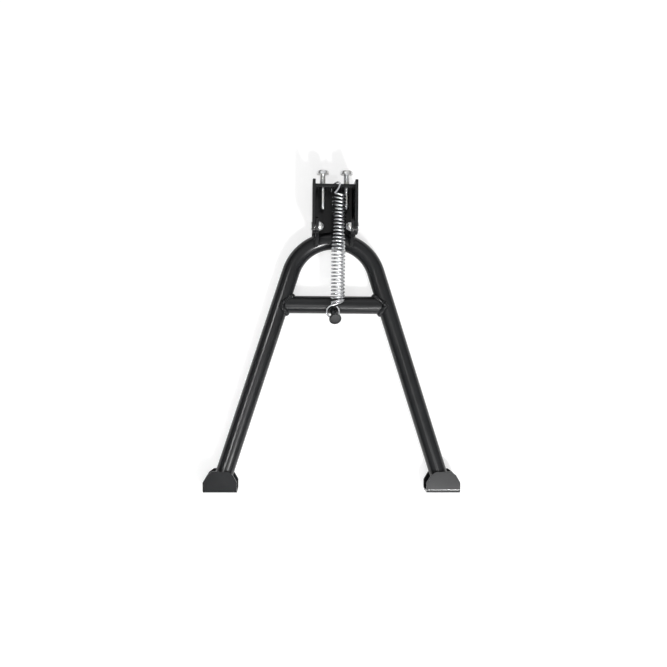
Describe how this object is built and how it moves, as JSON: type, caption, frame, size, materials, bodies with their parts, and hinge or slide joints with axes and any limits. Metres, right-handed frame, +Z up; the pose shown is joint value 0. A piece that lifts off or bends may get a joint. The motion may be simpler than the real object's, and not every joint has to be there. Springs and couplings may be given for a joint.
{
  "type": "bike trailer kickstand",
  "caption": "Kickstand for a bicycle trailer: folded steel bracket, riveted arch of bent tube with folded shoes, and a return spring on a crossbar peg.",
  "frame": {"origin": "on top of the seat plate, midway between the two clamp bolts", "axes": "+X to the right, +Y to the back web of the bracket, +Z up to the trailer's frame; the legs point down at rest"},
  "size_m": [0.2602, 0.0456, 0.3258],
  "materials": {
    "powder_coat": "semi-gloss black powder coat",
    "zinc_fastener": "bright zinc plate",
    "spring_zinc": "bright zinc plated spring wire"
  },
  "bodies": {
    "bracket": {"mount_bracket": "powder_coat", "saddle_plate": "powder_coat", "clamp_bolt_left": "zinc_fastener", "clamp_bolt_right": "zinc_fastener", "pivot_rivet_left": "zinc_fastener", "pivot_rivet_right": "zinc_fastener", "pivot_washer_left": "zinc_fastener", "pivot_washer_right": "zinc_fastener"},
    "legs": {"yoke_ear_left": "powder_coat", "yoke_ear_right": "powder_coat", "leg_tube": "powder_coat", "crossbar": "powder_coat", "spring_peg": "powder_coat", "foot_left": "powder_coat", "foot_right": "powder_coat"},
    "spring": {"return_spring": "spring_zinc"}
  },
  "joints": [
    {"name": "leg_fold", "type": "hinge", "parent": "bracket", "child": "legs", "pos_m": [0, -0.014, -0.043], "axis": [-1, 0, 0], "range_deg": [0, 95], "deforming": ["return_spring"]},
    {"name": "spring_swing", "type": "hinge", "parent": "bracket", "child": "spring", "pos_m": [0, -0.0083, -0.0015], "axis": [-1, 0, 0], "range_deg": [0, 70]}
  ],
  "couplings": [
    {"joint": "spring_swing", "follows": "leg_fold", "ratio": 0.6926}
  ]
}
